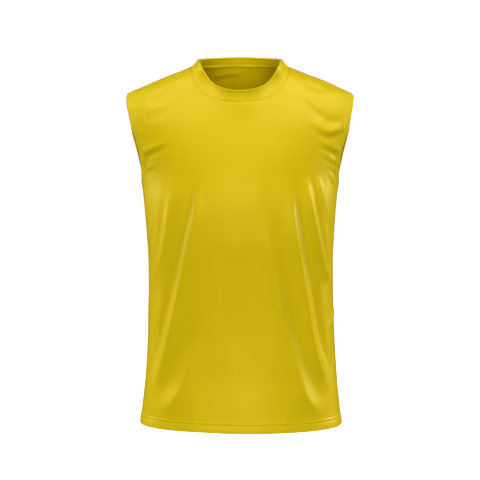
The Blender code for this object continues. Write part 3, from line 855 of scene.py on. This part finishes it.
def panel_shell(panel, material):
    """A panel as a closed thin shell whose hem and armhole edges are rounded folds."""
    turn, height = panel_grid(panel)
    outer, normal, thick = cloth_surface(panel, turn, height)
    inner = outer - normal * thick[..., None]
    rows, columns = turn.shape
    rim = grid_rim(rows, columns)
    row, column = rim.T
    within = np.clip(rim, 1, [rows - 2, columns - 2])
    edge = outer[row, column]
    edge_in = inner[row, column]
    away = unit(edge - outer[within[:, 0], within[:, 1]])
    free = (row == 0) | (armhole_gap(panel, height[row, column]) > LEAST_OPEN_GAP)
    free &= row < rows - SHOULDER_ROWS - TIP_ROWS
    size = np.linalg.norm(edge - edge_in, axis=1)[:, None] * free[:, None]
    loops = []
    for angle in EDGE_ANGLES:
        swing = math.radians(angle)
        middle = (edge + edge_in) / 2 + (edge - edge_in) / 2 * math.cos(swing)
        loops.append(middle + away * size / 2 * math.sin(swing))
    half = rows * columns
    flat_rim = row * columns + column
    ladder = [flat_rim]
    ladder += [2 * half + k * len(rim) + np.arange(len(rim)) for k in range(len(loops))]
    ladder.append(flat_rim + half)
    grid = grid_faces(rows, columns)
    faces = [grid, grid[:, ::-1] + half]
    for upper, lower in zip(ladder[:-1], ladder[1:]):
        faces.append(np.stack([np.roll(upper, -1), upper, lower, np.roll(lower, -1)], axis=-1))
    faces = np.vstack(faces)
    if panel == "back":
        faces = faces[:, ::-1]
    points = np.vstack([outer.reshape(-1, 3), inner.reshape(-1, 3), *loops])
    place = cloth_places(outer)
    places = np.vstack([place, place] + [place[flat_rim]] * len(loops))
    return mesh_object(panel + "_cloth", points, faces.tolist(), material, places)


# ---- neckband


def band_lean(seam, leans):
    """The neckband's lean at each point of the seam, in radians."""
    lean = dict(zip(BAND_LEAN_COLUMNS, leans))
    around = np.arctan2(seam[:, 0], -seam[:, 1])
    ends = (lean["front"] + lean["back"]) / 2
    turned = (ends + lean["side"]) / 2 + (ends - lean["side"]) / 2 * np.cos(2 * around)
    turned += (lean["front"] - lean["back"]) / 2 * np.cos(around)
    turned += np.where(np.cos(around) > 0, lean["corner"] * np.sin(2 * around) ** 2, 0.0)
    return np.radians(turned)


def band_directions(seam):
    """Up the band and out of it, at each point of the seam."""
    tangent = unit(np.roll(seam, -1, axis=0) - np.roll(seam, 1, axis=0))
    inward = unit(np.cross([0.0, 0.0, 1.0], tangent))
    upward = np.cross(tangent, inward)
    lean = band_lean(seam, BAND_LEAN)[:, None]
    rise = upward * np.cos(lean) + inward * np.sin(lean)
    return rise, np.cross(tangent, rise)


def tube_faces(stations, count, closed=True):
    """The quads between sections of this many points each, round a ring or along a line."""
    last = stations if closed else stations - 1
    here = np.arange(last)[:, None] * count
    after = (np.arange(last)[:, None] + 1) % stations * count
    j = np.arange(count)[None, :]
    beyond = (j + 1) % count
    return np.stack([here + j, after + j, after + beyond, here + beyond], axis=-1).reshape(-1, 4)


def band_profile():
    """The folded strip as a thin wall: up its outer layer, over the fold and down its inner layer."""
    share = np.linspace(0, 1, BAND_LAYER_STEPS)
    layer = (BAND_THICKNESS - BAND_LAYER_GAP) / 2
    fold_radius = BAND_THICKNESS / 2 + BAND_ROLL
    top = BAND_WIDTH - fold_radius
    up = BAND_START + (top - BAND_START) * share
    roll = BAND_ROLL * ramp(up, top - BAND_ROLL_ZONE, top)
    ditch = BAND_DITCH * bump(up, BAND_DITCH_WIDTH)
    face = roll - BAND_HOLLOW * np.sin(math.pi * share) - ditch
    back = face - BAND_THICKNESS + 2 * ditch - 2 * roll
    swing = np.linspace(0, math.pi, BAND_FOLD_STEPS)[1:-1]
    middle = face[-1] - fold_radius
    thin = fold_radius - layer
    outline = [
        (up, face),
        (top + fold_radius * np.sin(swing), middle + fold_radius * np.cos(swing)),
        (up[::-1], back[::-1]),
        (up, back + layer),
        (top + thin * np.sin(swing), middle - thin * np.cos(swing)),
        (up[::-1], (face - layer)[::-1]),
    ]
    return np.vstack([np.stack(part, axis=-1) for part in outline])


def ripple(run, height, waves, waver, waver_waves):
    """Waves round the band, by the share of the way round it."""
    return height * np.sin(2 * math.pi * waves * run + waver * np.sin(2 * math.pi * waver_waves * run))


def make_neckband(material):
    """The strip's section, carried round the neck seam."""
    seam = neck_line(BAND_STATIONS)
    rise, out = band_directions(seam)
    profile = band_profile()
    up, off = profile.T[:, None]
    station = np.arange(BAND_STATIONS)[:, None]
    way_round = station / BAND_STATIONS
    by_seam, everywhere = [ripple(way_round, **row) for row in named_rows(RIPPLE_COLUMNS, RIPPLES)]
    relief = by_seam * bump(up, SEAM_RIPPLE_WIDTH) + everywhere
    corners = 0
    for x in (-NECK_HALF_WIDTH, NECK_HALF_WIDTH):
        corners = corners + bump(np.linalg.norm(seam - [x, 0, 0], axis=1), BAND_CORNER_WIDTH)
    around = np.arctan2(seam[:, 0], -seam[:, 1])
    quarters = np.sin(2 * around) ** 2 * (1 + np.cos(around)) / 2 * (np.cos(around) > 0)
    level = np.cos(band_lean(seam, BAND_RIM_LEAN)) / np.cos(band_lean(seam, BAND_LEAN))
    tallness = level * (1 - BAND_CORNER_DIP * corners + BAND_QUARTER_RISE * quarters)
    facing = np.clip(-seam[:, 1] / BAND_FLARE_DEPTH, 0, 1)[:, None]
    flare = BAND_FRONT_FLARE * facing * np.sin(math.pi * np.clip(up / BAND_WIDTH, 0, 1))
    points = seam[:, None] + rise[:, None] * up[..., None] * tallness[:, None, None]
    points = points + out[:, None] * (off + (relief - flare))[..., None]
    run = station * BAND_STATION_KNIT + 0 * up
    across = run_along(profile) + 0 * run
    places = np.stack([across, run], axis=-1).reshape(-1, 2)
    faces = tube_faces(BAND_STATIONS, len(profile)).tolist()
    return mesh_object("neckband_cloth", points, faces, material, places)


# ---- sewing


def looped_ribbon(name, line, across, out, width, thickness, material, closed, slant=1.0, flare=0.0):
    """A flat ribbon of overlocked cloth whose threads cross it in slanting loops. Each loop is
    slant loops further along at one edge than at the other."""
    run = run_along(line)
    share = np.linspace(-0.5, 0.5, RIBBON_POINTS)
    face = np.concatenate([share, share[::-1]])
    round_off = np.cos(math.pi * share * RIBBON_ROUNDNESS)
    height = np.concatenate([RIBBON_EDGE + RIBBON_CROWN * round_off, 0 * share])
    loops = np.abs(np.sin(math.pi * (run[:, None] / LOOP_LENGTH + slant * face[None, :]))) ** LOOP_BLUNTNESS
    raised = LOOP_HEIGHT * loops * np.concatenate([round_off, 0 * share])[None, :]
    off = thickness * height[None, :] + raised + (flare + 0 * run)[:, None] * (0.5 - face[None, :])
    points = line[:, None] + across[:, None] * (width * face)[None, :, None] + out[:, None] * off[..., None]
    count = len(face)
    faces = tube_faces(len(line), count, closed)[:, [0, 3, 2, 1]].tolist()
    if not closed:
        first = list(range(count))
        faces += [first[::-1], [(len(line) - 1) * count + corner for corner in first]]
    return mesh_object(name, points, faces, material)


def stitch_row(line, out):
    """The visible stitches of one needle, each a short thread that dips in at both ends."""
    run = run_along(line)
    count = int(run[-1] / STITCH_LENGTH)
    pitch = run[-1] / count
    share = np.linspace(0, 1, THREAD_RINGS)
    at = (np.arange(count)[:, None] + 0.5 + (share[None, :] - 0.5) * (1 - STITCH_GAP / pitch)) * pitch
    place = read_along(run, line, at)
    normal = unit(read_along(run, out, at))
    beside = unit(np.cross(unit(np.gradient(place, axis=1)), normal))
    arch = np.sin(math.pi * share)[None, :, None]
    centre = place + normal * (THREAD_RADIUS * (THREAD_RISE * arch - THREAD_SINK))
    radius = THREAD_RADIUS * (THREAD_END + THREAD_SWELL * arch)
    angle = np.arange(THREAD_SIDES)[:, None] / THREAD_SIDES * 2 * math.pi
    ring = normal[:, :, None] * np.cos(angle) + beside[:, :, None] * np.sin(angle)
    points = (centre[:, :, None] + ring * radius[..., None]).reshape(-1, 3)
    size = THREAD_RINGS * THREAD_SIDES
    first = size * np.arange(count)[:, None, None]
    side = tube_faces(THREAD_RINGS, THREAD_SIDES, closed=False)[:, [0, 3, 2, 1]]
    ends = np.array([np.arange(THREAD_SIDES)[::-1], size - THREAD_SIDES + np.arange(THREAD_SIDES)])
    return points, (first + side).reshape(-1, 4), (first + ends).reshape(-1, THREAD_SIDES)


def stitches(name, rows, material):
    """The rows of stitches of one edge, joined in one mesh."""
    points = []
    faces = []
    start = 0
    for line, out in rows:
        row_points, sides, ends = stitch_row(line, out)
        points.append(row_points)
        faces += (sides + start).tolist() + (ends + start).tolist()
        start += len(row_points)
    return mesh_object(name, np.vstack(points), faces, material)


def hem_line(distance):
    """The closed line at this distance above the hem's edge, with its direction and thickness."""
    turn = np.linspace(-QUARTER_TURN, QUARTER_TURN, HEM_STATIONS)
    lines = []
    for panel, way in (("front", 1), ("back", -1)):
        surface = cloth_surface(panel, turn, hung(turn, HEM_HEIGHT + distance + 0 * turn))
        lines.append([part[::way] for part in surface])
    return [np.concatenate([front, back[1:]]) for front, back in zip(*lines)]


def armhole_offset(side, distance):
    """The closed line at this distance from an armhole's edge, with its direction and thickness."""
    angle = np.linspace(-QUARTER_TURN, 3 * QUARTER_TURN, ARMHOLE_STATIONS)
    stations = len(angle)
    panels = (("front", np.cos(angle) > 0), ("back", np.cos(angle) <= 0))

    def at(radius):
        """Turns, heights and points on the form, and which of them lie in the opening."""
        depth = np.abs(np.cos(angle) * radius)
        height = ARMHOLE_MIDDLE + np.sin(angle) * radius
        turn = np.zeros(stations)
        points = np.zeros((stations, 3))
        opening = np.zeros(stations, bool)
        for panel, own in panels:
            turn[own] = side * turn_at_depth(panel, depth[own], height[own])
            points[own] = form_point(panel, turn[own], height[own])
            opening[own] = depth[own] < armhole_gap(panel, height[own])
        return turn, height, points, opening

    low, high = (np.full(stations, radius) for radius in ARMHOLE_RADII)
    for _ in range(RADIUS_HALVINGS):
        radius = (low + high) / 2
        turn, height, points, opening = at(radius)
        far = ~opening & (nearest(points, ARMHOLE_LINES[side])[0] > distance)
        high = np.where(far, radius, high)
        low = np.where(far, low, radius)
    turn, height, place, opening = at((low + high) / 2)
    out = np.zeros((stations, 3))
    thick = np.zeros(stations)
    for panel, own in panels:
        place[own], out[own], thick[own] = cloth_surface(panel, turn[own], height[own])
    return place, out, thick


def even_line(parts, spacing, closed):
    """A line and what goes with it, at even spacing."""
    run = run_along(parts[0])
    count = int(run[-1] / spacing)
    stops = np.arange(count) / count * run[-1] if closed else np.linspace(0, run[-1], count)
    return [read_along(run, part.reshape(len(part), -1), stops) for part in parts]


def inside_ribbon(name, parts, width, thickness, material, closed, slant=1.0):
    """A ribbon that lies against the inner face along a line of the cloth."""
    line, out, thick = even_line(parts, LOOP_LENGTH / LOOP_STATIONS, closed)
    out = unit(out)
    if closed:
        along = unit(np.roll(line, -1, axis=0) - np.roll(line, 1, axis=0))
    else:
        along = unit(np.gradient(line, axis=0))
    across = unit(np.cross(out, along))
    line = line - out * (thick + RIBBON_CLEARANCE)
    return looped_ribbon(name, line, across, -out, width, thickness, material, closed, slant)


def seam_line(kind, side):
    """The line of a side or a shoulder seam on the cloth, upwards, with its direction and thickness."""
    low, high, short, stations = SEAM_SPANS[kind]
    height = np.linspace(low + short, high - short, stations)
    return cloth_surface("front", 0 * height + side * QUARTER_TURN, height)


def make_looper(name, middle, thread):
    """The looper's threads behind the twin stitches, along the line midway between them."""
    return inside_ribbon(name, middle, LOOPER_WIDTH, LOOPER_THICKNESS, thread, True, LOOPER_SLANT)


def make_hem_sewing(thread):
    rows = [hem_line(distance)[:2] for distance in HEM_NEEDLES]
    middle = hem_line(sum(HEM_NEEDLES) / 2)
    return stitches("hem_stitches", rows, thread), make_looper("hem_looper", middle, thread)


def make_armhole_sewing(side, word, thread, jersey):
    """The stitches and looper of an armhole, and the allowances of the two seams that meet it."""
    rows = [armhole_offset(side, distance)[:2] for distance in ARMHOLE_NEEDLES]
    middle = armhole_offset(side, sum(ARMHOLE_NEEDLES) / 2)
    made = [
        stitches("armhole_stitches_" + word, rows, thread),
        make_looper("armhole_looper_" + word, middle, thread),
    ]
    for kind in ("side", "shoulder"):
        line, out, thick = seam_line(kind, side)
        parts = (line + [0.0, ALLOWANCE_ASIDE, 0.0], out, thick)
        name = kind + "_allowance_" + word
        made.append(inside_ribbon(name, parts, ALLOWANCE_WIDTH, ALLOWANCE_THICKNESS, jersey, False))
    return made


def make_neck_allowance(material):
    seam = neck_line(NECK_STATIONS)
    rise, out = band_directions(seam)
    flare = 0
    for place in named_rows(FLARE_COLUMNS, FLARES):
        flare = flare + place["height"] * bump(seam[:, 0] - place["x"], place["width"])
    flare = flare * np.clip(seam[:, 1] / FLARE_DEPTH, 0, 1)
    line = seam + rise * NECK_ALLOWANCE_RISE - out * (BAND_THICKNESS + 2 * RIBBON_CLEARANCE)
    width = ALLOWANCE_WIDTH
    thickness = ALLOWANCE_THICKNESS
    return looped_ribbon(
        "neck_allowance", line, rise, -out, width, thickness, material, True, flare=flare
    )


# ---- materials


def link(tree, source, target):
    tree.links.new(source, target)


def set_inputs(node, values):
    for name, value in values.items():
        node.inputs[name].default_value = value


def add_node(tree, kind, **values):
    node = tree.nodes.new(kind)
    for name, value in values.items():
        setattr(node, name, value)
    return node


def math_node(tree, operation, first, second=None):
    node = add_node(tree, "ShaderNodeMath", operation=operation)
    for socket, value in zip(node.inputs, (first, second)):
        if value is None:
            continue
        if isinstance(value, (int, float)):
            socket.default_value = value
        else:
            link(tree, value, socket)
    return node.outputs[0]


def noise(tree, place, scale, detail):
    node = add_node(tree, "ShaderNodeTexNoise")
    set_inputs(node, {"Scale": scale, "Detail": detail})
    link(tree, place.outputs["Object"], node.inputs["Vector"])
    return node.outputs[0]


def raise_surface(tree, surface, height, strength, distance):
    relief = add_node(tree, "ShaderNodeBump")
    set_inputs(relief, {"Strength": strength, "Distance": distance})
    link(tree, height, relief.inputs["Height"])
    link(tree, relief.outputs[0], surface.inputs["Normal"])


def base_material(name, values):
    material = bpy.data.materials.new(name)
    material.use_nodes = True
    surface = material.node_tree.nodes["Principled BSDF"]
    set_inputs(surface, values)
    return material, material.node_tree, surface


def jersey_material(name):
    """Single-knit jersey: columns of small V stitches, a faint mottle and a soft sheen."""
    material, tree, surface = base_material(name, {
        "Roughness": 0.35,
        "Specular IOR Level": 0.80,
        "Specular Tint": (*GLOSS_YELLOW, 1.0),
        "Coat Weight": 0.08,
        "Coat Roughness": 0.42,
        "Sheen Weight": 0.02,
        "Sheen Roughness": 0.30,
        "Sheen Tint": (*NAP_YELLOW, 1.0),
    })
    knit = add_node(tree, "ShaderNodeUVMap", uv_map="knit")
    split = add_node(tree, "ShaderNodeSeparateXYZ")
    link(tree, knit.outputs[0], split.inputs[0])
    leg = math_node(tree, "PINGPONG", math_node(tree, "MULTIPLY", split.outputs[0], 2 / WALE), 1.0)
    row = math_node(tree, "MULTIPLY", split.outputs[1], 1 / COURSE)
    slanted = math_node(tree, "ADD", row, math_node(tree, "MULTIPLY", leg, LEG_SLANT))
    strand = math_node(tree, "SINE", math_node(tree, "MULTIPLY", slanted, 2 * math.pi))
    crown = math_node(tree, "SINE", math_node(tree, "MULTIPLY", leg, math.pi))
    stitch = math_node(tree, "ADD", math_node(tree, "MULTIPLY", strand, LEG_RELIEF), crown)
    place = add_node(tree, "ShaderNodeTexCoord")
    slub = noise(tree, place, *SLUB_NOISE)
    height = math_node(tree, "ADD", stitch, math_node(tree, "MULTIPLY", slub, SLUB_RELIEF))
    raise_surface(tree, surface, height, *KNIT_RAISE)
    mottle = math_node(tree, "MULTIPLY", noise(tree, place, *MOTTLE_NOISE), MOTTLE_SHARE)
    blend = math_node(tree, "ADD", mottle, math_node(tree, "MULTIPLY", slub, SLUB_SHARE))
    mix = add_node(tree, "ShaderNodeMix", data_type="RGBA")
    link(tree, blend, mix.inputs["Factor"])
    colour_inputs = [socket for socket in mix.inputs if socket.type == "RGBA"]
    for socket, colour in zip(colour_inputs, (YELLOW, YELLOW_PALE)):
        socket.default_value = (*colour, 1.0)
    colour = next(socket for socket in mix.outputs if socket.type == "RGBA")
    link(tree, colour, surface.inputs["Base Color"])
    return material


def thread_material(name):
    """Spun thread: fine slanting plies, painted darker in the grooves between them as shade, and a dull
    gloss.
    """
    values = {"Roughness": 0.5, "Specular IOR Level": 0.35, "Sheen Weight": 0.15}
    material, tree, surface = base_material(name, values)
    place = add_node(tree, "ShaderNodeTexCoord")
    ply = add_node(tree, "ShaderNodeTexWave")
    set_inputs(ply, {"Scale": PLY_SCALE, "Distortion": PLY_DISTORTION})
    link(tree, place.outputs["Object"], ply.inputs["Vector"])
    raise_surface(tree, surface, ply.outputs[1], *THREAD_RAISE)
    # Painted shade: the grooves between plies are coloured darker, along the same waves as their relief.
    painted_groove_shade = add_node(tree, "ShaderNodeValToRGB")
    painted_groove_shade.color_ramp.elements[0].color = (*[PLY_GROOVE_PAINTED_SHADE * part for part in THREAD_YELLOW], 1.0)
    painted_groove_shade.color_ramp.elements[1].color = (*THREAD_YELLOW, 1.0)
    link(tree, ply.outputs[1], painted_groove_shade.inputs[0])
    link(tree, painted_groove_shade.outputs[0], surface.inputs["Base Color"])
    return material


def backdrop_material():
    return base_material("studio_floor", {
        "Base Color": (*PALE, 1.0),
        "Roughness": 0.95,
        "Specular IOR Level": 0.0,
        "Emission Color": (*PALE, 1.0),
        "Emission Strength": FLOOR_GLOW,
    })[0]


# ---- the studio


def aimed_object(name, data, azimuth, elevation, distance):
    """An object that faces the garment. Azimuth 0 is in front of it, and 90 on its +X side."""
    item = add_object(name, data)
    swing = math.radians(azimuth)
    lift = math.radians(elevation)
    item.location = (
        CAMERA_TARGET[0] + distance * math.cos(lift) * math.sin(swing),
        CAMERA_TARGET[1] - distance * math.cos(lift) * math.cos(swing),
        CAMERA_TARGET[2] + distance * math.sin(lift),
    )
    item.rotation_euler = (QUARTER_TURN - lift, 0.0, swing)
    return item


def make_camera():
    camera = bpy.data.cameras.new("camera")
    camera.sensor_width = SENSOR
    camera.lens = SENSOR * CAMERA_DISTANCE / PICTURE_SPAN
    camera.clip_end = 100
    item = aimed_object("camera", camera, 0.0, CAMERA_ELEVATION, CAMERA_DISTANCE)
    bpy.context.scene.camera = item


def make_lamp(name, azimuth, elevation, distance, size, power, diffuse, gloss):
    """A round soft lamp aimed at the garment."""
    lamp = bpy.data.lights.new(name, "AREA")
    lamp.shape = "DISK"
    lamp.size = size
    lamp.energy = power
    item = aimed_object(name, lamp, azimuth, elevation, distance)
    item.visible_camera = False
    item.visible_diffuse = diffuse
    item.visible_glossy = gloss


def make_floor():
    """A round pale floor that sweeps up into a wall far behind every view."""
    profile = [(FLOOR_RADIUS / 2, 0.0), (FLOOR_RADIUS, 0.0)]
    for k in range(1, FLOOR_SWEEP_RINGS + 1):
        swing = k / FLOOR_SWEEP_RINGS * QUARTER_TURN
        radius = FLOOR_RADIUS + FLOOR_SWEEP * math.sin(swing)
        profile.append((radius, FLOOR_SWEEP * (1 - math.cos(swing))))
    profile.append((FLOOR_RADIUS + FLOOR_SWEEP, FLOOR_SWEEP + WALL_HEIGHT))
    radius, rise = np.array(profile).T[..., None]
    around = 2 * math.pi * np.arange(FLOOR_SIDES) / FLOOR_SIDES
    height = FLOOR_HEIGHT + rise + 0 * around
    rings = np.stack([radius * np.cos(around), radius * np.sin(around), height], axis=-1)
    points = np.vstack([[0.0, 0.0, FLOOR_HEIGHT], rings.reshape(-1, 3)])
    edge = 1 + np.arange(FLOOR_SIDES)
    faces = np.stack([0 * edge, edge, np.roll(edge, -1)], axis=-1).tolist()
    walls = tube_faces(len(profile), FLOOR_SIDES, closed=False)
    faces += (1 + walls).tolist()
    floor = add_object("floor", smooth_mesh("floor", points, faces, backdrop_material()))
    floor.visible_diffuse = False
    floor.visible_glossy = False
    floor.visible_shadow = False


def make_world():
    """An even pale sky, brighter overhead than at the horizon."""
    world = bpy.data.worlds.new("studio")
    world.use_nodes = True
    tree = world.node_tree
    sky = tree.nodes["Background"]
    way = add_node(tree, "ShaderNodeTexCoord")
    split = add_node(tree, "ShaderNodeSeparateXYZ")
    rise = add_node(tree, "ShaderNodeMapRange", interpolation_type="SMOOTHSTEP")
    set_inputs(rise, {"From Min": 0.0, "From Max": SKY_TOP, "To Min": SKY_LOW, "To Max": SKY_HIGH})
    link(tree, way.outputs["Generated"], split.inputs[0])
    link(tree, split.outputs["Z"], rise.inputs["Value"])
    link(tree, rise.outputs[0], sky.inputs["Strength"])
    sky.inputs["Color"].default_value = (1.0, 1.0, 1.0, 1.0)
    world.cycles_visibility.glossy = False
    bpy.context.scene.world = world


make_camera()
make_world()
make_floor()
for lamp in named_rows(LAMP_COLUMNS, LAMPS):
    make_lamp(**lamp)
bpy.context.scene.view_settings.view_transform = "Standard"

jersey = jersey_material("jersey")
band_jersey = jersey_material("neckband_jersey")
thread = thread_material("thread")

front = panel_shell("front", jersey)
back = panel_shell("back", jersey)
band = make_neckband(band_jersey)
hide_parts("front_panel")
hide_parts("back_panel")
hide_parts("neckband")

hem_stitches, hem_looper = make_hem_sewing(thread)
armhole_pieces = []
for side, word in ((-1, "right"), (1, "left")):
    armhole_pieces += make_armhole_sewing(side, word, thread, jersey)
neck_allowance = make_neck_allowance(band_jersey)
